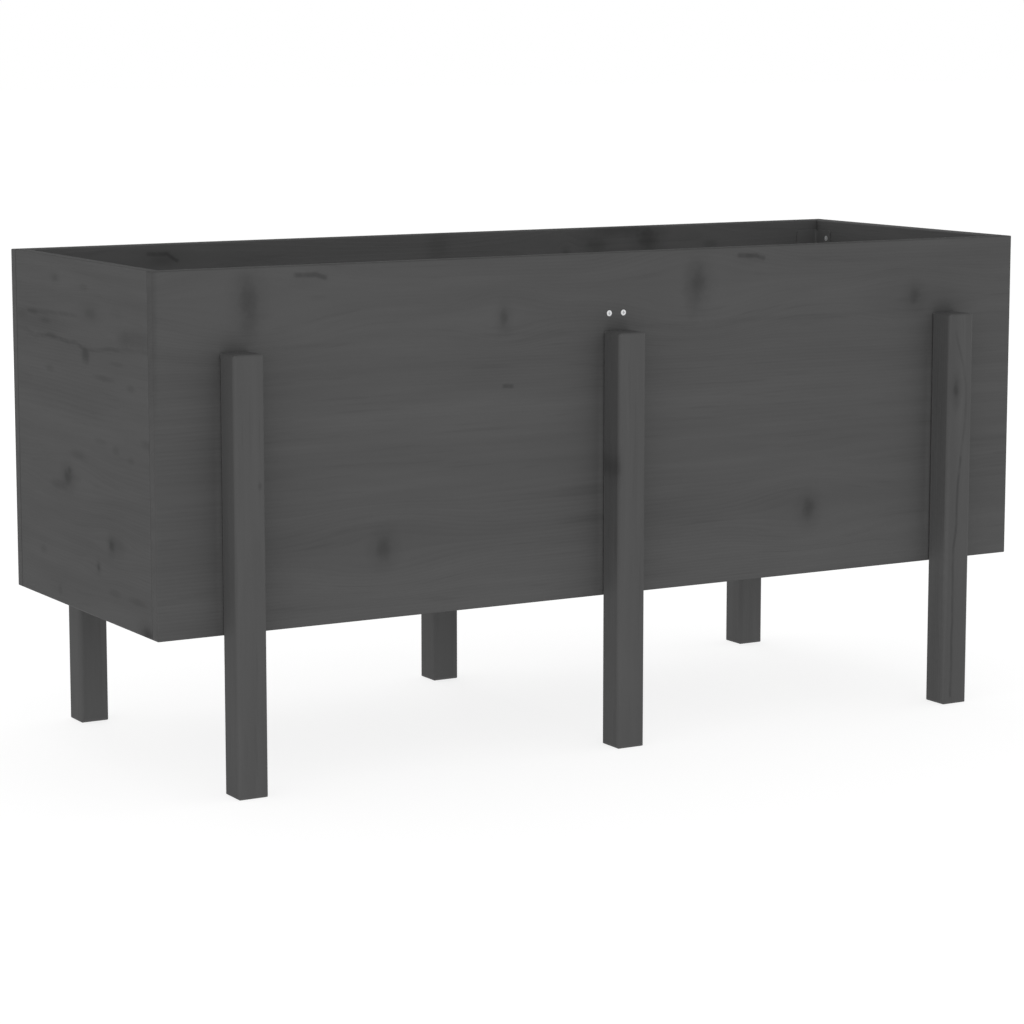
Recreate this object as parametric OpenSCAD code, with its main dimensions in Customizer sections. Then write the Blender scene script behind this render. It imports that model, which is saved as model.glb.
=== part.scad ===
// Raised planter: an open timber box with a slatted floor, carried by six square
// legs that are screwed to the outside of its long panels.
// The origin is on the ground under the middle of the planter. +X runs along the
// length to the right, +Y to the rear and +Z up. Sizes are in millimetres.

/* [Box] */
// Length of the box, which is the length of its two long panels
box_l = 1210; // [900:5:1600]
// Depth of the box over its two long panels
box_d = 424; // [320:2:600]
// Height of the four panels
panel_h = 416; // [320:2:500]
// Thickness of the four panels
panel_t = 15; // [12.5:0.5:20]
// Height of the panels' lower edges above the ground
box_lift = 184; // [120:2:400]
// Radius of the panels' eased edges
panel_ease = 2; // [0.5:0.25:3]

/* [Legs] */
// Side of the square legs
leg_s = 38; // [32:1:60]
// Distance of the leg tops below the rim
leg_drop = 94; // [84:2:140]
// Distance of the left legs from the left end of the box
leg_inset_left = 80; // [40:2:200]
// Distance of the right legs from the right end of the box
leg_inset_right = 90; // [40:2:200]
// Radius of the legs' long edges
leg_ease = 5; // [0.5:0.5:8]
// Radius of the edges round the legs' ends
leg_end_ease = 3.5; // [0.5:0.25:5]

/* [Cross brace] */
// Width of the brace between the long panels
brace_w = 38; // [32:1:70]
// Thickness of the brace
brace_t = 20; // [16:1:24]
// Distance of the brace's centre line below the rim
brace_drop = 73; // [50:1:74]
// Distance between the two screws at each end of the brace
brace_screw_gap = 20; // [14:1:22]

/* [Floor] */
// Distance of the ledgers above the panels' lower edges
ledger_rise = 8; // [2:1:20]
// Width of the ledgers, away from the panels
ledger_w = 25; // [20:1:40]
// Height of the ledgers
ledger_h = 30; // [26:1:45]
// Thickness of the floor slats
slat_t = 12; // [9:0.5:18]
// Number of floor slats
slat_n = 10; // [6:1:12]
// Drainage gap between two floor slats
slat_gap = 10; // [5:1:16]
// Gap between a slat's end and the long panel
slat_end_gap = 1; // [0.5:0.5:5]
// Distance of the slat screws from the slat's long edges
slat_screw_in = 22; // [16:1:30]
// Radius of the eased edges of slats, ledgers and brace
batten_ease = 1.5; // [0.5:0.25:3]
// Distance of the end ledgers' screws from the middle of the box
ledger_screw_out = 100; // [50:5:110]

/* [Corner brackets] */
// Length of the brackets' flanges from the corner
bracket_leg = 34; // [32:1:45]
// Thickness of the bracket steel
bracket_t = 1.5; // [1.25:0.25:3]
// Outer radius of the brackets' bend
bracket_bend = 5; // [4:0.5:8]
// Radius of the corners of the brackets' flanges
bracket_corner = 4; // [1:0.5:6]
// Distance of the brackets' top edges below the rim
bracket_drop = 14; // [6:1:20]
// Distance of the bracket screws from the corner of the box
bracket_screw_in = 25; // [22:1:25]
// Distance of the first and last bracket screws from the bracket's ends
bracket_screw_end = 11; // [8:1:14]
// Distance between the two screws of one flange
bracket_screw_gap = 28; // [22:1:30]
// Offset in height between the screws of the two flanges
bracket_stagger = 14; // [10:1:16]

/* [Screws] */
// Diameter of the countersunk wood screws
screw_d = 4; // [3.5:0.25:5]
// Head diameter of the countersunk wood screws
screw_head = 7; // [6.5:0.25:9]
// Depth that the leg screws reach into a leg
leg_bite = 26; // [18:1:28]
// Depth that the brace screws reach into the brace
brace_bite = 35; // [20:1:45]
// Depth that the ledger and bracket screws reach into a panel
panel_bite = 10; // [8:0.5:11]
// Depth that the slat screws reach into a ledger
slat_bite = 20; // [12:1:22]
// Number of screws in each leg
leg_screw_n = 3; // [2:1:5]
// Sideways stagger of the screws in a leg
leg_screw_stagger = 8; // [0:1:10]
// Distance of a leg's highest screw below the leg's top
leg_screw_top = 30; // [20:1:50]
// Distance of a leg's lowest screw above the floor
leg_screw_low = 25; // [15:1:50]
// Radial clearance round a screw
screw_play = 0.1; // [0.05:0.05:0.2]
// End clearance of a ledger that drops in between two others
drop_in = 0.3; // [0.1:0.1:0.8]

/* [Hidden] */
$fn = 48;
rim = box_lift + panel_h;
inner_l = box_l - 2 * panel_t;
inner_d = box_d - 2 * panel_t;
leg_top = rim - leg_drop;
leg_at = [
    -box_l / 2 + leg_inset_left + leg_s / 2,
    0,
    box_l / 2 - leg_inset_right - leg_s / 2,
];
brace_z = rim - brace_drop;
ledger_z = box_lift + ledger_rise + ledger_h / 2;
slat_z = ledger_z + ledger_h / 2;
floor_top = slat_z + slat_t;
slat_pitch = inner_l / slat_n;
slat_w = slat_pitch - slat_gap;
bracket_h = 2 * bracket_screw_end + bracket_screw_gap + bracket_stagger;
screw_rim = 0.4;
recess = [4, 0.9, 1.6];
bore_over = 1;
bore_end = 0.5;
LEFT = -1;
RIGHT = 1;
FRONT = -1;
REAR = 1;
wood = "#515151";
wood_inside = "#4b4b4b";
zinc = "#b9bcc0";
bracket_paint = "#464646";

// ---- Boards and plates ----

// A rectangle with its four corners rounded
module rounded_rect(w, h, r) {
    square([w - 2 * r, h], center = true);
    square([w, h - 2 * r], center = true);
    for (x = [-1, 1], y = [-1, 1])
        translate([x * (w / 2 - r), y * (h / 2 - r)])
            circle(r);
}

// A sawn board about its centre: ease holds the radius of the edges that run
// along X, along Y and along Z
module board(size, ease) {
    intersection() {
        rotate([90, 0, 90])
            linear_extrude(size.x, center = true)
                rounded_rect(size.y, size.z, ease.x);
        rotate([90, 0, 0])
            linear_extrude(size.y, center = true)
                rounded_rect(size.x, size.z, ease.y);
        linear_extrude(size.z, center = true)
            rounded_rect(size.x, size.y, ease.z);
    }
}

// The bent strip of a bracket, seen from above, with its corner at the origin
module bend_profile() {
    intersection() {
        square(bracket_bend);
        difference() {
            translate([bracket_bend, bracket_bend])
                circle(bracket_bend);
            translate([bracket_bend, bracket_bend])
                circle(bracket_bend - bracket_t);
        }
    }
}

// One flat flange of a bracket, from its bend to its rounded far end
module flange_outline() {
    reach = bracket_leg - bracket_bend;
    square([reach - bracket_corner, bracket_h]);
    translate([0, bracket_corner])
        square([reach, bracket_h - 2 * bracket_corner]);
    for (z = [bracket_corner, bracket_h - bracket_corner])
        translate([reach - bracket_corner, z])
            circle(bracket_corner);
}

// ---- Screws and their bores, with the head at z = 0 and the tip below ----

module cross_recess() {
    for (turn = [0, 90])
        rotate(turn)
            cube([recess.x, recess.y, 2 * recess.z], center = true);
}

// A countersunk screw whose head lies flush with what it holds
module flush_screw(l) {
    difference() {
        rotate_extrude()
            polygon([
                [0, 0],
                [screw_head / 2, 0],
                [screw_head / 2, -screw_rim],
                [screw_d / 2, -screw_rim - (screw_head - screw_d) / 2],
                [screw_d / 2, screw_d - l],
                [0, -l],
            ]);
        cross_recess();
    }
}

// The countersunk bore that a flush screw goes through and bites into
module flush_bore(l) {
    rotate_extrude()
        polygon([
            [0, bore_over],
            [screw_head / 2 + screw_play, bore_over],
            [screw_head / 2 + screw_play, -screw_rim],
            [screw_d / 2 + screw_play, -screw_rim - (screw_head - screw_d) / 2],
            [screw_d / 2 + screw_play, -l - bore_end],
            [0, -l - bore_end],
        ]);
}

// ---- Where the screws are: each module places its children at every screw ----

// From inside the box, through a long panel into the legs
module at_leg_screws(side, leg) {
    lowest = floor_top + leg_screw_low;
    highest = leg_top - leg_screw_top;
    for (i = [0 : leg_screw_n - 1]) {
        aside = i % 2 == 0 ? leg_screw_stagger : -leg_screw_stagger;
        z = lowest + i * (highest - lowest) / (leg_screw_n - 1);
        translate([leg_at[leg] + aside, side * inner_d / 2, z])
            rotate([90 * side, 0, 0])
                children();
    }
}

// From outside, through a long panel into the end of the brace
module at_brace_screws(side) {
    for (x = [-1, 1])
        translate([x * brace_screw_gap / 2, side * box_d / 2, brace_z])
            rotate([-90 * side, 0, 0])
                children();
}

// Through a long ledger into its panel, under every second gap between slats
module at_long_ledger_screws(side) {
    for (i = [1 : 2 : slat_n - 1])
        translate([i * slat_pitch - inner_l / 2, side * (inner_d / 2 - ledger_w), ledger_z])
            rotate([90 * side, 0, 0])
                children();
}

// Through an end ledger into its panel
module at_end_ledger_screws(side) {
    for (y = [-1, 1])
        translate([side * (inner_l / 2 - ledger_w), y * ledger_screw_out, ledger_z])
            rotate([0, -90 * side, 0])
                children();
}

// Down through both ends of one slat into the long ledgers
module at_slat_screws(i) {
    for (x = [-1, 1], y = [-1, 1])
        translate([
            slat_x(i) + x * (slat_w / 2 - slat_screw_in),
            y * (inner_d - ledger_w) / 2,
            floor_top,
        ])
            children();
}

// Into the corner of the box at one end and side, with both flanges along +X and +Y
module in_corner(end, side) {
    translate([end * inner_l / 2, side * inner_d / 2, rim - bracket_drop - bracket_h])
        mirror([end == RIGHT ? 1 : 0, 0, 0])
            mirror([0, side == REAR ? 1 : 0, 0])
                children();
}

// Through the flange that lies on the end panel
module at_end_flange_screws() {
    for (i = [0, 1])
        translate([
            bracket_t,
            bracket_screw_in,
            bracket_h - bracket_screw_end - i * bracket_screw_gap,
        ])
            rotate([0, 90, 0])
                children();
}

// Through the flange that lies on the long panel
module at_long_flange_screws() {
    for (i = [0, 1])
        translate([
            bracket_screw_in,
            bracket_t,
            bracket_screw_end + i * bracket_screw_gap,
        ])
            rotate([-90, 0, 0])
                children();
}

function slat_x(i) = (i - 0.5) * slat_pitch - inner_l / 2;

// ---- The box ----

module long_panel(side) {
    difference() {
        translate([0, side * (box_d - panel_t) / 2, box_lift + panel_h / 2])
            board([box_l, panel_t, panel_h], [panel_ease, panel_ease, panel_ease]);
        for (leg = [0 : 2])
            at_leg_screws(side, leg)
                flush_bore(panel_t + leg_bite);
        at_brace_screws(side)
            flush_bore(panel_t + brace_bite);
        at_long_ledger_screws(side)
            flush_bore(ledger_w + panel_bite);
        for (end = [LEFT, RIGHT])
            in_corner(end, side)
                at_long_flange_screws()
                    flush_bore(bracket_t + panel_bite);
    }
}

module end_panel(end) {
    difference() {
        translate([end * (box_l - panel_t) / 2, 0, box_lift + panel_h / 2])
            board([panel_t, inner_d, panel_h], [panel_ease, panel_ease, panel_ease]);
        at_end_ledger_screws(end)
            flush_bore(ledger_w + panel_bite);
        for (side = [FRONT, REAR])
            in_corner(end, side)
                at_end_flange_screws()
                    flush_bore(bracket_t + panel_bite);
    }
}

module front_panel() {
    color(wood)
        long_panel(FRONT);
}

module rear_panel() {
    color(wood)
        long_panel(REAR);
}

module left_end_panel() {
    color(wood)
        end_panel(LEFT);
}

module right_end_panel() {
    color(wood)
        end_panel(RIGHT);
}

// ---- The legs ----

module leg(side, which) {
    color(wood)
        difference() {
            translate([leg_at[which], side * (box_d + leg_s) / 2, leg_top / 2])
                board([leg_s, leg_s, leg_top], [leg_end_ease, leg_end_ease, leg_ease]);
            at_leg_screws(side, which)
                flush_bore(panel_t + leg_bite);
        }
}

// ---- Brace, ledgers and slats ----

module cross_brace() {
    color(wood_inside)
        difference() {
            translate([0, 0, brace_z])
                board([brace_w, inner_d, brace_t], [batten_ease, batten_ease, batten_ease]);
            for (side = [FRONT, REAR])
                at_brace_screws(side)
                    flush_bore(panel_t + brace_bite);
        }
}

module long_ledger(side) {
    color(wood_inside)
        difference() {
            translate([0, side * (inner_d - ledger_w) / 2, ledger_z])
                board([inner_l - 2 * drop_in, ledger_w, ledger_h],
                      [batten_ease, batten_ease, batten_ease]);
            at_long_ledger_screws(side)
                flush_bore(ledger_w + panel_bite);
            for (i = [1 : slat_n])
                at_slat_screws(i)
                    flush_bore(slat_t + slat_bite);
        }
}

module end_ledger(end) {
    color(wood_inside)
        difference() {
            translate([end * (inner_l - ledger_w) / 2, 0, ledger_z])
                board([ledger_w, inner_d - 2 * (ledger_w + drop_in), ledger_h],
                      [batten_ease, batten_ease, batten_ease]);
            at_end_ledger_screws(end)
                flush_bore(ledger_w + panel_bite);
        }
}

module front_ledger() {
    long_ledger(FRONT);
}

module rear_ledger() {
    long_ledger(REAR);
}

module left_ledger() {
    end_ledger(LEFT);
}

module right_ledger() {
    end_ledger(RIGHT);
}

module floor_slat(i) {
    color(wood_inside)
        difference() {
            translate([slat_x(i), 0, slat_z + slat_t / 2])
                board([slat_w, inner_d - 2 * slat_end_gap, slat_t],
                      [batten_ease, batten_ease, batten_ease]);
            at_slat_screws(i)
                flush_bore(slat_t + slat_bite);
        }
}

// ---- Corner brackets ----

module bracket(end, side) {
    color(bracket_paint)
        in_corner(end, side)
            difference() {
                union() {
                    linear_extrude(bracket_h)
                        bend_profile();
                    translate([bracket_bend, bracket_t, 0])
                        rotate([90, 0, 0])
                            linear_extrude(bracket_t)
                                flange_outline();
                    translate([0, bracket_bend, 0])
                        rotate([90, 0, 90])
                            linear_extrude(bracket_t)
                                flange_outline();
                }
                at_end_flange_screws()
                    flush_bore(bracket_t + panel_bite);
                at_long_flange_screws()
                    flush_bore(bracket_t + panel_bite);
            }
}

// ---- Screw sets ----

module leg_screws() {
    color(zinc)
        for (side = [FRONT, REAR], which = [0 : 2])
            at_leg_screws(side, which)
                flush_screw(panel_t + leg_bite);
}

module brace_screws() {
    color(zinc)
        for (side = [FRONT, REAR])
            at_brace_screws(side)
                flush_screw(panel_t + brace_bite);
}

module ledger_screws() {
    color(zinc) {
        for (side = [FRONT, REAR])
            at_long_ledger_screws(side)
                flush_screw(ledger_w + panel_bite);
        for (end = [LEFT, RIGHT])
            at_end_ledger_screws(end)
                flush_screw(ledger_w + panel_bite);
    }
}

module slat_screws() {
    color(zinc)
        for (i = [1 : slat_n])
            at_slat_screws(i)
                flush_screw(slat_t + slat_bite);
}

module bracket_screws() {
    color(zinc)
        for (end = [LEFT, RIGHT], side = [FRONT, REAR])
            in_corner(end, side) {
                at_end_flange_screws()
                    flush_screw(bracket_t + panel_bite);
                at_long_flange_screws()
                    flush_screw(bracket_t + panel_bite);
            }
}

front_panel();
rear_panel();
left_end_panel();
right_end_panel();
leg(FRONT, 0);  // leg_front_left
leg(FRONT, 1);  // leg_front_middle
leg(FRONT, 2);  // leg_front_right
leg(REAR, 0);  // leg_rear_left
leg(REAR, 1);  // leg_rear_middle
leg(REAR, 2);  // leg_rear_right
cross_brace();
front_ledger();
rear_ledger();
left_ledger();
right_ledger();
for (i = [1 : slat_n])
    floor_slat(i);
bracket(LEFT, FRONT);  // bracket_front_left
bracket(RIGHT, FRONT);  // bracket_front_right
bracket(LEFT, REAR);  // bracket_rear_left
bracket(RIGHT, REAR);  // bracket_rear_right
leg_screws();
brace_screws();
ledger_screws();
slat_screws();
bracket_screws();
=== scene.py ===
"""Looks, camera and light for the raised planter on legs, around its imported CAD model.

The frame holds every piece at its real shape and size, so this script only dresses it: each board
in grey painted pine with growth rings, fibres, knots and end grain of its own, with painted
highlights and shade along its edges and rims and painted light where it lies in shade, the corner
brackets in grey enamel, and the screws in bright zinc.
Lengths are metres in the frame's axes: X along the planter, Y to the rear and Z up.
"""

import math
from collections import namedtuple

import bpy
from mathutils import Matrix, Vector


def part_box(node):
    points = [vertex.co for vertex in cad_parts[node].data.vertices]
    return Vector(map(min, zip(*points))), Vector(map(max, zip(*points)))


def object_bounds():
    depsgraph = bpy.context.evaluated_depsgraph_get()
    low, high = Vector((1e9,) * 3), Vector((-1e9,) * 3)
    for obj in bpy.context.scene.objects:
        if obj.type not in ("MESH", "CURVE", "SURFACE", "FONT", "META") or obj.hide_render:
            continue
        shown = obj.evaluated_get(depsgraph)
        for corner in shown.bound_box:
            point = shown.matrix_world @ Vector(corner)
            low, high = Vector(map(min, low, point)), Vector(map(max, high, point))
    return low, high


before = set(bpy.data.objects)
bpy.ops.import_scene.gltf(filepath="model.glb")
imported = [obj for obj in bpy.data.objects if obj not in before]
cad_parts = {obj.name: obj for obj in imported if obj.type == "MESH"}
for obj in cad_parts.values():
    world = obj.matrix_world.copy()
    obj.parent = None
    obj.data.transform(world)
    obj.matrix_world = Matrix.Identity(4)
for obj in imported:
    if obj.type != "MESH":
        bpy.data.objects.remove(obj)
cad_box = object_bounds()

# ---------------------------------------------------------------- camera

CAMERA_PLACE = (-1.9815, -3.3537, 0.862)
CAMERA_HEADING = 30.303  # degrees from +Y towards +X
CAMERA_TILT = 7.891      # degrees below level
CAMERA_SENSOR = 36       # millimetres
CAMERA_LENS = 108.88     # millimetres
CAMERA_SHIFT = -0.05     # share of the picture's width
CAMERA_NEAREST = 0.1
CAMERA_FARTHEST = 100


def make_camera():
    data = bpy.data.cameras.new("camera")
    data.sensor_width = CAMERA_SENSOR
    data.lens = CAMERA_LENS
    data.shift_y = CAMERA_SHIFT
    data.clip_start = CAMERA_NEAREST
    data.clip_end = CAMERA_FARTHEST
    camera = bpy.data.objects.new("camera", data)
    camera.location = CAMERA_PLACE
    camera.rotation_euler = (math.radians(90 - CAMERA_TILT), 0, math.radians(-CAMERA_HEADING))
    bpy.context.scene.collection.objects.link(camera)
    bpy.context.scene.camera = camera


# ---------------------------------------------------------------- formulas as shader nodes

class Wire:
    """A value in a node tree. Sums written with it become Math or Vector Math nodes."""

    def __init__(self, tree, socket):
        self.tree = tree
        self.socket = socket

    def join(self, operation, first, second):
        vectors = any(is_vector(value) for value in (first, second))
        kind = "ShaderNodeVectorMath" if vectors else "ShaderNodeMath"
        return add_node(self.tree, kind, {0: first, 1: second}, operation=operation)

    def __add__(self, other):
        return self.join("ADD", self, other)

    def __radd__(self, other):
        return self.join("ADD", other, self)

    def __sub__(self, other):
        return self.join("SUBTRACT", self, other)

    def __rsub__(self, other):
        return self.join("SUBTRACT", other, self)

    def __mul__(self, other):
        return self.join("MULTIPLY", self, other)

    def __truediv__(self, other):
        return self.join("DIVIDE", self, other)

    def lowest(self, other):
        return self.join("MINIMUM", self, other)

    def highest(self, other):
        return self.join("MAXIMUM", self, other)

    def size(self):
        return add_node(self.tree, "ShaderNodeMath", {0: self}, operation="ABSOLUTE")

    def fraction(self):
        return add_node(self.tree, "ShaderNodeMath", {0: self}, operation="FRACT")

    def length(self):
        return add_node(self.tree, "ShaderNodeVectorMath", {0: self}, "Value", operation="LENGTH")

    def parts(self):
        """The X, Y and Z of a vector."""
        node = self.tree.nodes.new("ShaderNodeSeparateXYZ")
        self.tree.links.new(self.socket, node.inputs[0])
        return [Wire(self.tree, output) for output in node.outputs]

    def slide(self, points):
        """A straight rise or fall between two points, each a place on this wire and a value."""
        (start, low), (end, high) = points
        inputs = {"Value": self, "From Min": start, "From Max": end, "To Min": low, "To Max": high}
        return add_node(self.tree, "ShaderNodeMapRange", inputs)

    def rise(self, start, end):
        """0 up to start, 1 from end on, and a smooth rise between. It falls where start > end."""
        inputs = {"Value": self, "From Min": start, "From Max": end}
        return add_node(self.tree, "ShaderNodeMapRange", inputs, interpolation_type="SMOOTHSTEP")


def is_vector(value):
    if isinstance(value, Wire):
        return value.socket.type == "VECTOR"
    return isinstance(value, (tuple, Vector))


def add_node(tree, kind, inputs, output=0, **settings):
    """Adds a node, feeds its inputs with numbers or wires, and returns the wire of one output."""
    node = tree.nodes.new(kind)
    for name, value in settings.items():
        setattr(node, name, value)
    for name, value in inputs.items():
        socket = node.inputs[name]
        if isinstance(value, Wire):
            tree.links.new(value.socket, socket)
        elif socket.type == "VECTOR" and not is_vector(value):
            socket.default_value = (value,) * 3
        else:
            socket.default_value = value
    return Wire(tree, node.outputs[output])


def noise(place, scale, detail=2.0, roughness=0.5):
    """Noise from 0 to 1, around 0.5. The scale is in lumps per metre: one number for every way,
    or one for each axis."""
    inputs = {"Vector": place * scale, "Scale": 1.0, "Detail": detail, "Roughness": roughness}
    return add_node(place.tree, "ShaderNodeTexNoise", inputs)


def swing(place, scale, most):
    """Noise around 0 that goes up to most either way."""
    return noise(place, scale) * (2 * most) - most


def texture_wire(tree, output):
    return add_node(tree, "ShaderNodeTexCoord", {}, output)


def empty_material(name):
    material = bpy.data.materials.new(name)
    material.use_nodes = True
    material.node_tree.nodes.clear()
    return material


def show_surface(tree, surface):
    """Makes a shader's output socket the look of the tree's material."""
    output = tree.nodes.new("ShaderNodeOutputMaterial")
    tree.links.new(surface, output.inputs["Surface"])


def new_material(name, shader_inputs):
    """A material with one Principled shader, its tree and the shader."""
    material = empty_material(name)
    tree = material.node_tree
    shader = tree.nodes.new("ShaderNodeBsdfPrincipled")
    for key, value in shader_inputs.items():
        shader.inputs[key].default_value = value
    show_surface(tree, shader.outputs[0])
    return material, tree, shader


def finish_shader(tree, shader, colour, roughness, height, depth):
    """Feeds the shader with a colour, a roughness and a relief that is depth metres high."""
    inputs = {"Height": height, "Distance": depth, "Strength": 1.0}
    normal = add_node(tree, "ShaderNodeBump", inputs)
    for key, wire in (("Base Color", colour), ("Roughness", roughness), ("Normal", normal)):
        tree.links.new(wire.socket, shader.inputs[key])


# ---------------------------------------------------------------- the boards' marks

ALONG_X, ALONG_Y, ALONG_Z = 0, 1, 2

# Marks on a board, measured from its lowest corner, along the grain and across it. A stain reaches
# half_along and half_across from its middle, and takes away up to dark of the paint's brightness;
# where dark is below 0 it adds that much instead, which is painted light. A knot is a stain with a
# darker heart, and the grain bends round it.
Stain = namedtuple("Stain", "along across half_along half_across dark")
Knot = namedtuple("Knot", "along across half_along half_across dark")
# A thin dark line of late wood through its points, each an along and an across. It fades out
# at half_width from its middle.
Line = namedtuple("Line", "dark half_width points")

# The marks that the photo shows on the front panel, the left end panel, the rear panel's inner
# side and the front legs, and some wide faint ones that shade the boards as it does.
# Those of them that are paler, with dark below 0, are painted light where the boards lie in shade.
FRONT_KNOTS = [
    Knot(0.117, 0.380, 0.017, 0.027, 0.31),
    Knot(0.449, 0.345, 0.0085, 0.015, 0.29),
    Knot(0.724, 0.376, 0.016, 0.028, 0.26),
    Knot(1.054, 0.345, 0.013, 0.015, 0.29),
    Knot(0.287, 0.083, 0.015, 0.020, 0.31),
    Knot(0.892, 0.083, 0.014, 0.019, 0.34),
]
FRONT_STAINS_AND_LIGHT = [
    # The first five run the panel's whole length, and are painted light and shade: lighter along
    # the bottom and in a thin band at mid-height, darker in bands between and towards the top.
    Stain(0.605, 0.030, 1.100, 0.050, -0.060),
    Stain(0.605, 0.100, 1.100, 0.018, 0.020),
    Stain(0.605, 0.240, 1.100, 0.014, -0.030),
    Stain(0.605, 0.290, 1.100, 0.045, 0.040),
    Stain(0.605, 0.390, 1.100, 0.040, 0.030),
    Stain(0.000, 0.390, 0.006, 0.170, 0.12),
    Stain(0.112, 0.402, 0.012, 0.010, 0.06),
    Stain(0.118, 0.354, 0.012, 0.024, 0.12),
    Stain(0.195, 0.400, 0.028, 0.010, 0.06),
    Stain(0.716, 0.366, 0.015, 0.038, 0.12),
    Stain(0.800, 0.401, 0.028, 0.008, 0.06),
    Stain(0.555, 0.131, 0.045, 0.008, 0.09),
    Stain(0.560, 0.097, 0.040, 0.008, 0.08),
    Stain(0.190, 0.324, 0.080, 0.003, 0.05),
    Stain(0.860, 0.326, 0.260, 0.004, 0.05),
    Stain(0.480, 0.324, 0.120, 0.004, 0.04),
    Stain(0.090, 0.200, 0.060, 0.050, 0.03),
    # Painted light: paler strips beside the left side of each leg, in the lower part of the panel,
    # where the legs' shade falls.
    Stain(0.079, 0.140, 0.006, 0.160, -0.18),
    Stain(0.585, 0.140, 0.006, 0.160, -0.18),
    Stain(1.081, 0.140, 0.006, 0.160, -0.18),
]
FRONT_LINES = [
    Line(0.32, 0.0045, [(0.178, 0.4055), (0.202, 0.4045), (0.213, 0.4010)]),
    Line(0.36, 0.0045, [(0.784, 0.4055), (0.808, 0.4045), (0.818, 0.4010)]),
    Line(0.36, 0.0040, [(0.450, 0.2630), (0.458, 0.2625)]),
]
END_KNOTS = [
    Knot(0.268, 0.390, 0.013, 0.006, 0.22),
    Knot(0.162, 0.356, 0.025, 0.010, 0.24),
    Knot(0.240, 0.156, 0.017, 0.014, 0.42),
    Knot(0.112, 0.092, 0.010, 0.011, 0.42),
    Knot(0.151, 0.061, 0.006, 0.007, 0.36),
    Knot(0.012, 0.004, 0.021, 0.012, 0.52),
]
END_STAINS = [
    Stain(0.181, 0.385, 0.016, 0.005, 0.12),
    Stain(0.179, 0.306, 0.014, 0.010, 0.36),
    Stain(0.320, 0.333, 0.095, 0.015, 0.12),
    Stain(0.375, 0.340, 0.020, 0.007, 0.10),
    Stain(0.280, 0.320, 0.022, 0.004, 0.18),
    Stain(0.302, 0.337, 0.022, 0.004, 0.18),
    Stain(0.340, 0.346, 0.022, 0.004, 0.20),
    Stain(0.028, 0.336, 0.060, 0.013, 0.17),
    Stain(0.064, 0.333, 0.026, 0.010, 0.10),
    Stain(0.268, 0.144, 0.028, 0.007, 0.20),
    Stain(0.216, 0.158, 0.022, 0.005, 0.10),
    Stain(0.234, 0.165, 0.008, 0.005, 0.26),
    Stain(0.094, 0.094, 0.028, 0.014, 0.14),
    Stain(0.105, 0.037, 0.020, 0.005, 0.12),
    Stain(0.038, 0.037, 0.026, 0.005, 0.14),
    Stain(0.125, 0.284, 0.034, 0.004, 0.18),
    Stain(0.086, 0.304, 0.024, 0.003, 0.12),
    Stain(0.048, 0.279, 0.014, 0.005, 0.16),
    Stain(0.290, 0.281, 0.016, 0.005, 0.14),
    Stain(0.138, 0.210, 0.022, 0.004, 0.12),
    Stain(0.094, 0.204, 0.012, 0.006, 0.14),
    Stain(0.051, 0.197, 0.010, 0.005, 0.12),
    Stain(0.205, 0.187, 0.028, 0.006, 0.15),
    Stain(0.007, 0.220, 0.015, 0.007, 0.14),
    Stain(0.321, 0.058, 0.013, 0.006, 0.12),
    Stain(0.271, 0.016, 0.007, 0.007, 0.12),
]
END_LINES = [
    Line(0.12, 0.004, [(-0.003, 0.324), (0.038, 0.323), (0.059, 0.323), (0.084, 0.321)]),
    Line(0.20, 0.004, [(0.084, 0.321), (0.109, 0.319), (0.134, 0.316), (0.178, 0.3125)]),
    Line(0.24, 0.004, [(0.178, 0.3125), (0.209, 0.318), (0.230, 0.317), (0.255, 0.319)]),
    Line(0.16, 0.004, [(0.255, 0.319), (0.288, 0.321), (0.307, 0.319), (0.334, 0.316)]),
    Line(0.10, 0.005, [(0.334, 0.316), (0.361, 0.322), (0.394, 0.323)]),
    Line(0.14, 0.004, [(0.204, 0.350), (0.258, 0.349), (0.325, 0.346), (0.355, 0.345)]),
]
REAR_KNOTS = [
    Knot(0.194, 0.396, 0.030, 0.014, 0.22),
    Knot(0.830, 0.392, 0.026, 0.014, 0.26),
    Knot(0.912, 0.398, 0.024, 0.022, 0.36),
]
REAR_STAINS_AND_LIGHT = [
    Stain(0.000, 0.208, 0.003, 0.600, 0.20),
    Stain(0.586, 0.398, 0.020, 0.040, 0.12),
    Stain(0.865, 0.411, 0.050, 0.008, 0.20),
    Stain(1.015, 0.388, 0.014, 0.006, 0.16),
    # Painted light: a paler band along the whole panel, about 40 mm below the rim, where the inside
    # of the box is in shade.
    Stain(0.600, 0.378, 0.800, 0.014, -0.08),
]
REAR_LINES = [Line(0.30, 0.004, [(0.176, 0.404), (0.200, 0.403), (0.213, 0.394)])]
RIGHT_LEG_KNOTS = [Knot(0.409, 0.0115, 0.017, 0.0068, 0.37)]
RIGHT_LEG_STAINS_AND_LIGHT = [
    Stain(0.240, 0.005, 0.500, 0.014, 0.07),
    # Painted light: the leg's left side and left edge paler, where it stands in shade.
    Stain(0.240, -0.005, 0.500, 0.008, -0.24),
]
RIGHT_LEG_LINES = [
    Line(0.14, 0.003, [(0.321, 0.0205), (0.352, 0.025), (0.378, 0.028), (0.414, 0.028)]),
    Line(0.12, 0.003, [(0.414, 0.028), (0.440, 0.022), (0.456, 0.017), (0.481, 0.011)]),
    Line(0.26, 0.003, [(0.225, 0.016), (0.255, 0.016), (0.293, 0.018), (0.321, 0.0205)]),
    Line(0.22, 0.003, [(0.012, 0.012), (0.120, 0.012), (0.204, 0.012), (0.225, 0.016)]),
]
MIDDLE_LEG_KNOTS = [Knot(0.345, 0.000, 0.018, 0.005, 0.25)]
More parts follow.
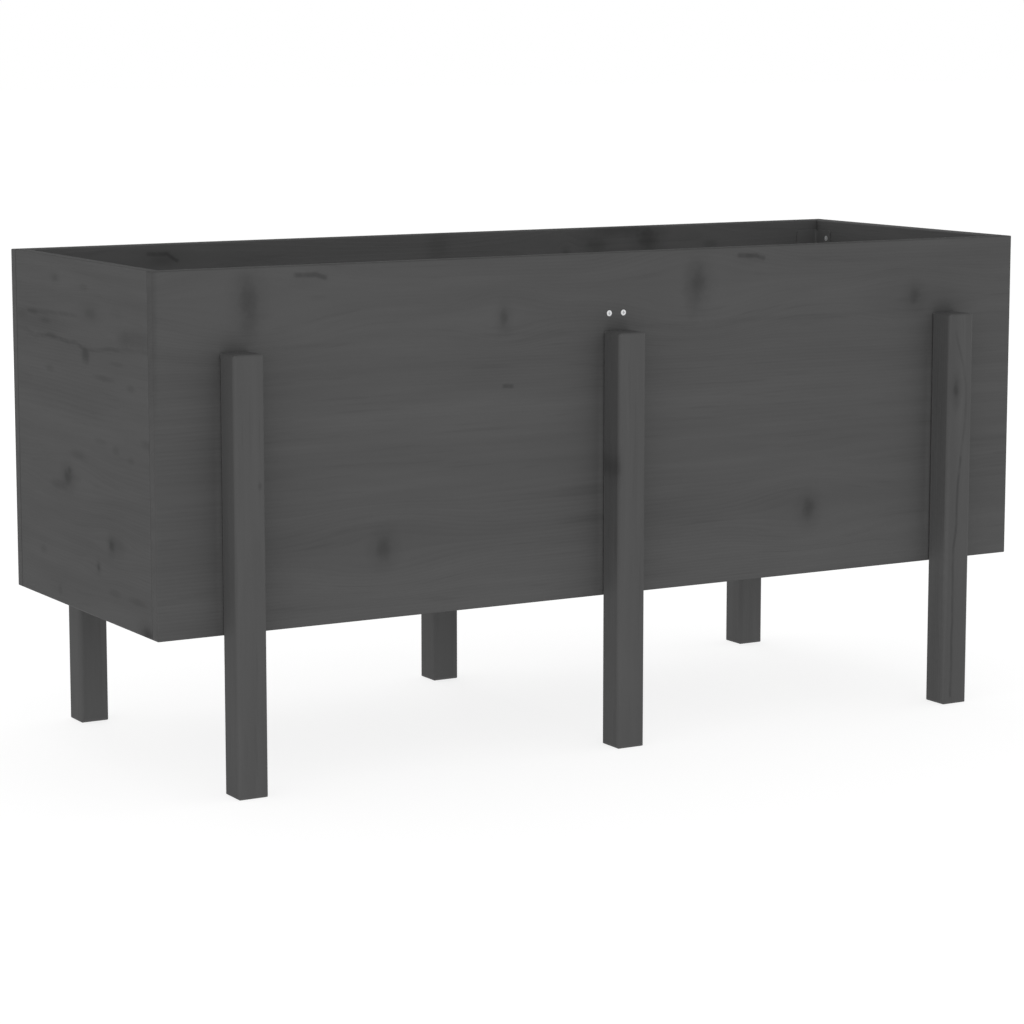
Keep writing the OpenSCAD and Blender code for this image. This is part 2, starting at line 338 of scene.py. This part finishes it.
# Painted light: the lower part of the leg's left side paler, where it stands in shade.
MIDDLE_LEG_PAINTED_LIGHT = [Stain(0.120, -0.005, 0.200, 0.008, -0.08)]
LEFT_LEG_STAINS = [Stain(0.358, 0.0306, 0.005, 0.003, 0.18)]

# How a kind of board is dressed: the axis that its grain runs along, its marks, how many in ten of
# the places for scattered knots are taken, how wide its arrises are, and by what share they are
# lighter, a painted highlight (or darker, below 0, painted shade), by what share its sawn edges
# along the grain are darker, which is painted shade on the panels' top and bottom faces, and its
# brightness beside the paint's, which on the rear legs and on the rear and right end panels is
# painted light because they lie in the box's shade.
Board = namedtuple(
    "Board", "grain knots stains lines scattered arris_width arris_light sawn_dark tone"
)

# Painted shade along the long panels' edges; painted light along the end panels' edges, against the
# shade in the corner joints; painted highlights along the legs' and battens' edges.
PANEL = Board(ALONG_X, [], [], [], 4, 0.0026, -0.04, 0.22, 1.0)
END_PANEL = PANEL._replace(grain=ALONG_Y, arris_light=0.12)
LEG = Board(ALONG_Z, [], [], [], 3, 0.0060, 0.03, 0.0, 1.0)
# The rear legs' higher tone is painted light: they stand in the box's shade.
REAR_LEG = LEG._replace(tone=1.13)
BATTEN = Board(ALONG_X, [], [], [], 2, 0.0022, 0.05, 0.0, 1.04)
END_BATTEN = BATTEN._replace(grain=ALONG_Y)
SLAT = BATTEN._replace(grain=ALONG_Y, scattered=3)

# A board's place in this list also moves its grain and knots, so that no two boards match.
BOARDS = {
    "front_panel": PANEL._replace(
        knots=FRONT_KNOTS, stains=FRONT_STAINS_AND_LIGHT, lines=FRONT_LINES, scattered=0
    ),
    "rear_panel": PANEL._replace(
        # Its higher tone is painted light: its inner side lies in the box's shade.
        knots=REAR_KNOTS, stains=REAR_STAINS_AND_LIGHT, lines=REAR_LINES, tone=1.27
    ),
    "left_end_panel": END_PANEL._replace(
        knots=END_KNOTS, stains=END_STAINS, lines=END_LINES, scattered=0
    ),
    # Its higher tone is painted light: its inner side lies in the box's shade.
    "right_end_panel": END_PANEL._replace(tone=1.28),
    "leg_front_left": LEG._replace(stains=LEFT_LEG_STAINS, scattered=0),
    "leg_front_middle": LEG._replace(
        knots=MIDDLE_LEG_KNOTS, stains=MIDDLE_LEG_PAINTED_LIGHT, scattered=0
    ),
    "leg_front_right": LEG._replace(
        knots=RIGHT_LEG_KNOTS, stains=RIGHT_LEG_STAINS_AND_LIGHT, lines=RIGHT_LEG_LINES, scattered=0
    ),
    "leg_rear_left": REAR_LEG,
    "leg_rear_middle": REAR_LEG,
    "leg_rear_right": REAR_LEG,
    "cross_brace": END_BATTEN,
    "front_ledger": BATTEN,
    "rear_ledger": BATTEN,
    "left_ledger": END_BATTEN,
    "right_ledger": END_BATTEN,
}
BOARDS.update({name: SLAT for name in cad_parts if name.startswith("floor_slat_")})

# ---------------------------------------------------------------- painted pine

PAINT = (0.085, 0.085, 0.085)
PINE_GLOSS = 0.05          # the shader's specular level
PINE_ROUGHNESS = 0.76
PINE_RELIEF = 0.00025      # height of the bumps
RAGGED = 0.25              # how far a mark's rim wanders, as a share of its size
STAIN_OR_LIGHT_FADE = (1.3, 0.2)    # where a stain starts and is at its darkest, or painted light at its palest, 1 being its rim
KNOT_HALO = (2.0, 0.3)     # the same for the two parts of a knot
KNOT_HEART = (0.95, 0.1)
KNOT_BEND = (3.4, 0.4)     # and for the grain that bends round it
KNOT_SPACING = 0.42        # between the places for scattered knots, along the grain
KNOT_ROW = 0.11            # and across it
KNOT_SMALLEST = 0.004      # half the length of a scattered knot, at least
KNOT_LARGEST = 0.010       # and at most
KNOT_DARK = 0.33           # by what share a scattered knot is darker
KNOT_FAR = 9.0             # beyond the reach of a knot's shade and bend, in its sizes
RING_WIDTH = 0.0042        # from one ring to the next
PITH_OUTSIDE = 0.03        # how far the rings' middle is outside the board at least
LINE_END = 0.006           # how far a dark line fades out past its ends
SAWN_ROUGHER = 0.10        # added to the roughness of sawn edges
SEAT_LIGHT_REACH = (0.007, 0.001)   # from the panel, where the painted light starts and is at its palest
SEAT_LIGHT_SHARE = 0.45          # by what share the painted light is lighter
REAR_LOWEST, REAR_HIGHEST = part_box("rear_panel")
LEG_SEAT = REAR_HIGHEST.y  # where the legs sit against the long panels
BOX_BOTTOM = REAR_LOWEST.z

# A trace of the wood in the paint: noise in lumps per metre along the grain and across it, and
# the share of brightness that it takes away or adds.
Trace = namedtuple("Trace", "along across detail roughness share")
FIBRES = Trace(14, 620, 3.0, 0.5, 0.03)
STREAKS = Trace(2.6, 75, 3.0, 0.6, 0.16)
PATCHES = Trace(2.2, 7, 1.0, 0.5, 0.06)
DASHES = Trace(11, 190, 2.0, 0.5, 0.06)
FLECKS = Trace(8, 62, 1.0, 0.5, 0.13)
BANDS = Trace(0.7, 26, 1.0, 0.5, 0.10)
LATE_WOOD_SHARE = 0.045


def on_axes(along, across, through, grain, face):
    """A vector with one number for the grain's axis, the axis across it and the thickness."""
    numbers = [across] * 3
    numbers[grain] = along
    numbers[face] = through
    return tuple(numbers)


class Timber:
    """One board's axes: the grain, the thickness, which is its thinnest way, and the third."""

    def __init__(self, name, board, number):
        self.low, self.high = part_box(name)
        size = self.high - self.low
        self.grain = board.grain
        self.face = min((size[axis], axis) for axis in range(3) if axis != board.grain)[1]
        if name.startswith("leg_"):   # a leg is square: its marks are on its front and rear
            self.face = ALONG_Y
        self.across = 3 - self.grain - self.face
        self.centre = (self.low + self.high) / 2
        self.half = size / 2
        self.number = number

    def scale(self, along, across, through=None):
        """Numbers for the three axes, the same through the board as across it if not given."""
        through = across if through is None else through
        return on_axes(along, across, through, self.grain, self.face)

    def spot(self, along, across):
        """The place of a mark that is given from the board's lowest corner."""
        place = self.centre.copy()
        place[self.grain] = self.low[self.grain] + along
        place[self.across] = self.low[self.across] + across
        return place

    def share(self, step):
        """A number from 0 to 1 that differs from board to board."""
        return (self.number * step + 0.29) % 1.0

    def own(self, steps):
        """A place that differs from board to board, to start its noise from."""
        return Vector([self.number * step for step in steps])


def round_knot(timber, place, offset, reach):
    """Bends the grain round a knot. Returns the bent place; reach is 1 at the knot's rim."""
    pull = reach.rise(*KNOT_BEND) * 0.85
    return place - offset * timber.scale(0, 1, 0) * pull


def knot_shade(reach, dark):
    """A knot's share of lost brightness: a dark heart in a soft halo."""
    return (reach.rise(*KNOT_HALO) * 0.40 + reach.rise(*KNOT_HEART) * 0.60) * dark


def mark_offset(timber, place, mark):
    """From a mark's middle to the place, and the same with 1 at the mark's rim."""
    offset = place - timber.spot(mark.along, mark.across)
    return offset, offset * timber.scale(1 / mark.half_along, 1 / mark.half_across, 0)


def placed_knots(timber, board, place, ragged, shade):
    """The knots that are given one by one. Returns the bent place and the darker shade."""
    bent = place
    for knot in board.knots:
        offset, rim = mark_offset(timber, place, knot)
        wide = rim * timber.scale(0.3, 1, 0)
        bent = round_knot(timber, bent, offset, wide.length())
        shade = shade.highest(knot_shade(rim.length() + ragged, knot.dark))
    return bent, shade


def placed_stains_and_light(timber, board, place, ragged, shade):
    """Adds the board's stains and painted light to its shade."""
    for stain_or_light in board.stains:
        reach = mark_offset(timber, place, stain_or_light)[1].length() + ragged
        shade = shade + reach.rise(*STAIN_OR_LIGHT_FADE) * stain_or_light.dark * (1 - shade)
    return shade


def scattered_knots(timber, board, place):
    """Knots at random places: one in each cell of a grid along the board, if it is taken.
    Returns the bent place and the shade."""
    cell = timber.scale(KNOT_SPACING, KNOT_ROW, 1)
    seed = timber.own((7.3, 3.7, 5.1))
    grid = place * timber.scale(1 / KNOT_SPACING, 1 / KNOT_ROW, 0) + seed
    cells = add_node(place.tree, "ShaderNodeTexVoronoi", {"Vector": grid, "Scale": 1.0}, "Position")
    lottery = Wire(place.tree, cells.socket.node.outputs["Color"])
    luck = add_node(place.tree, "ShaderNodeSeparateColor", {0: lottery})
    half = luck * (KNOT_LARGEST - KNOT_SMALLEST) + KNOT_SMALLEST
    wins = 1 - board.scattered / 10
    taken = luck.rise(wins, wins + 0.02)
    offset = (grid - cells) * cell
    reach = (offset * timber.scale(1, 0.7, 0)).length() / half + (1 - taken) * KNOT_FAR
    return round_knot(timber, place, offset, reach), knot_shade(reach, KNOT_DARK)


def growth_rings(timber, bent):
    """Late wood, from 0 to 1: thin dark shells round a pith that lies outside the board."""
    side = 1 if timber.number % 2 else -1
    outside = PITH_OUTSIDE * (1 + timber.share(0.382))
    pith = timber.centre.copy()
    pith[timber.across] += timber.half[timber.across] * (timber.share(0.618) - 0.5)
    pith[timber.face] += side * (timber.half[timber.face] + outside)
    # The shells wander by up to 18 mm in long waves and by 2 mm in short ones, and they widen
    # by 8 mm in each metre of the log.
    wander = noise(bent, timber.scale(1.6, 9)) * 0.018 + noise(bent, timber.scale(9, 70)) * 0.002
    taper = bent.parts()[timber.grain] * 0.008
    radius = ((bent - pith) * timber.scale(0, 1)).length() + taper + wander
    turn = (radius * (1 / RING_WIDTH)).fraction()
    return turn.rise(0.15, 0.88) * turn.rise(1.0, 0.93)


def edge_distance(timber, place):
    """How far a place on the board's skin is from the nearest edge: the middle of the three
    distances to its faces."""
    offsets = (place - timber.centre).parts()
    x, y, z = (half - offset.size() for half, offset in zip(timber.half, offsets))
    return x.lowest(y).highest(x.highest(y).lowest(z))


def faces_along(tree, axis):
    """1 on the faces that look along an axis."""
    return texture_wire(tree, "Normal").parts()[axis].size().rise(0.6, 0.9)


def dark_lines(timber, board, place, shade):
    """Adds the board's lines of late wood to its shade."""
    if not board.lines:
        return shade
    parts = place.parts()
    along = parts[timber.grain] - timber.low[timber.grain]
    across = parts[timber.across] - timber.low[timber.across]
    across = across + swing(place, timber.scale(30, 4, 0), 0.002)
    strength = noise(place, timber.scale(40, 5, 0)).rise(0.3, 0.6) * 0.5 + 0.5
    drawn = along * 0.0
    for line in board.lines:
        for start, end in zip(line.points, line.points[1:]):
            distance = (across - along.slide((start, end))).size()
            within = along.rise(start[0] - LINE_END, start[0])
            within = within * along.rise(end[0] + LINE_END, end[0])
            here = distance.rise(line.half_width, line.half_width * 0.2) * within * line.dark
            drawn = drawn.highest(here)
    return shade + drawn * strength * (1 - shade)


def painted_seat_light(place):
    """Painted light in the shade of the groove where the legs' rounded edges meet the long panels.
    Returns its share of light.
    """
    along_y, along_z = place.parts()[1:]
    beside = (along_y.size() - LEG_SEAT).rise(*SEAT_LIGHT_REACH)
    return beside * along_z.rise(BOX_BOTTOM - 0.004, BOX_BOTTOM) * SEAT_LIGHT_SHARE


def painted_pine(name, board, number):
    """Grey paint on pine: the wood's figure shows faintly through it."""
    material, tree, shader = new_material(
        "painted_pine_" + name, {"Specular IOR Level": PINE_GLOSS}
    )
    timber = Timber(name, board, number)
    place = texture_wire(tree, "Object")
    ragged = swing(place, 130, RAGGED)
    bent, shade = scattered_knots(timber, board, place)
    bent, shade = placed_knots(timber, board, bent, ragged, shade)
    shade = placed_stains_and_light(timber, board, place, ragged, shade)
    shade = dark_lines(timber, board, place, shade)

    own = bent + timber.own((1.7, 2.3, 0.9))
    late = growth_rings(timber, bent)
    fibres, streaks, patches, dashes, flecks, bands = (
        noise(own, timber.scale(trace.along, trace.across), trace.detail, trace.roughness)
        for trace in (FIBRES, STREAKS, PATCHES, DASHES, FLECKS, BANDS)
    )
    pores = noise(own, 900, 1.0)
    figure = late * patches.rise(0.3, 0.62) * LATE_WOOD_SHARE + (streaks - 0.5) * STREAKS.share
    figure = figure + dashes.rise(0.60, 0.74) * DASHES.share + (fibres - 0.5) * FIBRES.share
    figure = figure + (patches - 0.5) * PATCHES.share + (flecks - 0.5) * FLECKS.share
    figure = figure + (bands - 0.5) * BANDS.share

    ends = faces_along(tree, timber.grain)
    sawn = faces_along(tree, timber.across)
    edge = edge_distance(timber, place) + swing(own, 90, 0.0015)
    arris = edge.rise(board.arris_width, board.arris_width * 0.25)
    end_light = ends * (pores * 0.08 - 0.05)   # end grain: uneven, and a little darker
    # The sawn term is painted shade: it darkens the panels' top and bottom faces, the rims, where
    # light from above would show them bright.
    tone = (1 - figure) * (1 - shade) * (1 - sawn * board.sawn_dark)
    # The arris term is a painted highlight along the edges where its share is above 0, and painted
    # shade where it is below 0.
    tone = tone * (1 + end_light + arris * board.arris_light)
    # Painted light in the shaded groove where the leg meets the long panel.
    if name.startswith("leg_"):
        tone = tone * (1 + painted_seat_light(place))

    colour = tone * tuple(level * board.tone for level in PAINT)
    roughness = streaks * 0.10 + pores * 0.06 + PINE_ROUGHNESS - shade * 0.3 + sawn * SAWN_ROUGHER
    height = late * 0.25 + fibres * 0.5 + streaks * 0.2 + ends * pores * 0.5 - shade
    finish_shader(tree, shader, colour, roughness, height, PINE_RELIEF)
    return material


# ---------------------------------------------------------------- metal

ZINC = (0.98, 0.99, 1.0)   # its tint
ZINC_METALLIC = 0.5
ZINC_RELIEF = 0.00004
ENAMEL_GLOSS = 0.2         # the shader's specular level
ENAMEL_RELIEF = 0.00005


def bright_zinc():
    """Zinc plate on the screws: bright, faintly mottled, with fine turning marks."""
    material, tree, shader = new_material("bright_zinc", {"Metallic": ZINC_METALLIC})
    place = texture_wire(tree, "Object")
    cloud = noise(place, 420, 3.0)
    marks = noise(place, 2600, 1.0)
    colour = (cloud * 0.16 + 0.66) * ZINC
    roughness = cloud * 0.16 + marks * 0.06 + 0.26
    finish_shader(tree, shader, colour, roughness, marks * 0.6 + cloud * 0.4, ZINC_RELIEF)
    return material


def grey_enamel():
    """Baked enamel on the corner brackets, in the boards' grey: matt, with a fine orange peel."""
    material, tree, shader = new_material("grey_enamel", {"Specular IOR Level": ENAMEL_GLOSS})
    place = texture_wire(tree, "Object")
    cloud = noise(place, 60, 2.0)
    peel = noise(place, 1100, 1.0)
    colour = (cloud * 0.10 + 1.15) * PAINT
    roughness = cloud * 0.10 + peel * 0.06 + 0.62
    finish_shader(tree, shader, colour, roughness, peel * 0.7 + cloud * 0.3, ENAMEL_RELIEF)
    return material


def dress(node, material):
    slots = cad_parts[node].data.materials
    slots.clear()
    slots.append(material)


def dress_planter():
    for number, (name, board) in enumerate(BOARDS.items()):
        dress(name, painted_pine(name, board, number))
    zinc = bright_zinc()
    enamel = grey_enamel()
    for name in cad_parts:
        if name.endswith("_screws"):
            dress(name, zinc)
        elif name.startswith("bracket_"):
            dress(name, enamel)


# ---------------------------------------------------------------- studio

WORLD_LEVEL = 0.74    # what the object is lit by; the camera sees pure white
FLOOR_SIZE = 80
FLOOR_GAP = 0.0002    # keeps the floor from sharing a plane with the legs' ends
FLOOR_SHADE = 0.30    # how much of the floor's white its shadows can take away
FLOOR_ALBEDO = 0.30
FLOOR_GLOW = 0.79     # the floor is a lit table: it glows by itself
FLOOR_WHITE = 1.02    # what the camera sees of it where no shadow falls

# Softboxes face the planter. heading is in degrees from the front (-Y) towards +X, and level is
# how bright one lights a white card that faces it at the planter.
Softbox = namedtuple("Softbox", "name heading height level")
SOFTBOXES = [
    Softbox("key_light", -10, 0.8, 0.12),
    Softbox("fill_light", -70, 0.8, 0.05),
    Softbox("side_light", 88, 1.4, 0.10),
    Softbox("back_light", 170, 1.7, 0.14),
]
SOFTBOX_DISTANCE = 4.5
SOFTBOX_WIDTH = 2.4


def seen_directly(tree):
    """1 where the camera, a reflection or clear material looks, and 0 for the object's light."""
    path = tree.nodes.new("ShaderNodeLightPath")
    camera, glossy, clear = (
        Wire(tree, path.outputs[name])
        for name in ("Is Camera Ray", "Is Glossy Ray", "Is Transmission Ray")
    )
    return camera.highest(glossy).highest(clear)


def make_world():
    world = bpy.data.worlds.new("studio")
    world.use_nodes = True
    tree = world.node_tree
    background = tree.nodes["Background"]
    background.inputs["Color"].default_value = (1, 1, 1, 1)
    level = seen_directly(tree) * (1 - WORLD_LEVEL) + WORLD_LEVEL
    tree.links.new(level.socket, background.inputs["Strength"])
    bpy.context.scene.world = world


def floor_material():
    """Pale matt floor that glows. Where it is looked at, it glows more, so shadows stay light.
    Its lower side is clear, so the planter can be looked at from below."""
    material = empty_material("pale_floor")
    tree = material.node_tree
    seen = seen_directly(tree)
    colour = (1 - seen) * (FLOOR_ALBEDO - FLOOR_SHADE) + FLOOR_SHADE
    matt = add_node(tree, "ShaderNodeBsdfDiffuse", {"Color": colour})
    strength = seen * (FLOOR_WHITE - FLOOR_SHADE * WORLD_LEVEL - FLOOR_GLOW) + FLOOR_GLOW
    glow = add_node(tree, "ShaderNodeEmission", {"Strength": strength})
    upper = add_node(tree, "ShaderNodeAddShader", {0: matt, 1: glow})
    lower = add_node(tree, "ShaderNodeBsdfTransparent", {})
    from_below = add_node(tree, "ShaderNodeNewGeometry", {}, "Backfacing")
    sides = add_node(tree, "ShaderNodeMixShader", {0: from_below, 1: upper, 2: lower})
    show_surface(tree, sides.socket)
    return material


def make_floor():
    half = FLOOR_SIZE / 2
    corners = [(-half, -half, 0), (half, -half, 0), (half, half, 0), (-half, half, 0)]
    mesh = bpy.data.meshes.new("floor")
    mesh.from_pydata(corners, [], [(0, 1, 2, 3)])
    mesh.materials.append(floor_material())
    floor = bpy.data.objects.new("floor", mesh)
    floor.location.z = cad_box[0].z - FLOOR_GAP
    bpy.context.scene.collection.objects.link(floor)


def make_softbox(softbox):
    middle = (cad_box[0] + cad_box[1]) / 2
    angle = math.radians(softbox.heading)
    across, away = math.sin(angle) * SOFTBOX_DISTANCE, -math.cos(angle) * SOFTBOX_DISTANCE
    place = Vector((across, away, softbox.height))
    data = bpy.data.lights.new(softbox.name, "AREA")
    data.size = SOFTBOX_WIDTH
    data.energy = softbox.level * math.pi ** 2 * (place - middle).length ** 2
    lamp = bpy.data.objects.new(softbox.name, data)
    lamp.location = place
    lamp.rotation_euler = (middle - place).to_track_quat("-Z", "Y").to_euler()
    bpy.context.scene.collection.objects.link(lamp)


def make_studio():
    make_world()
    make_floor()
    for softbox in SOFTBOXES:
        make_softbox(softbox)
    bpy.context.scene.view_settings.view_transform = "Standard"


make_camera()
dress_planter()
make_studio()
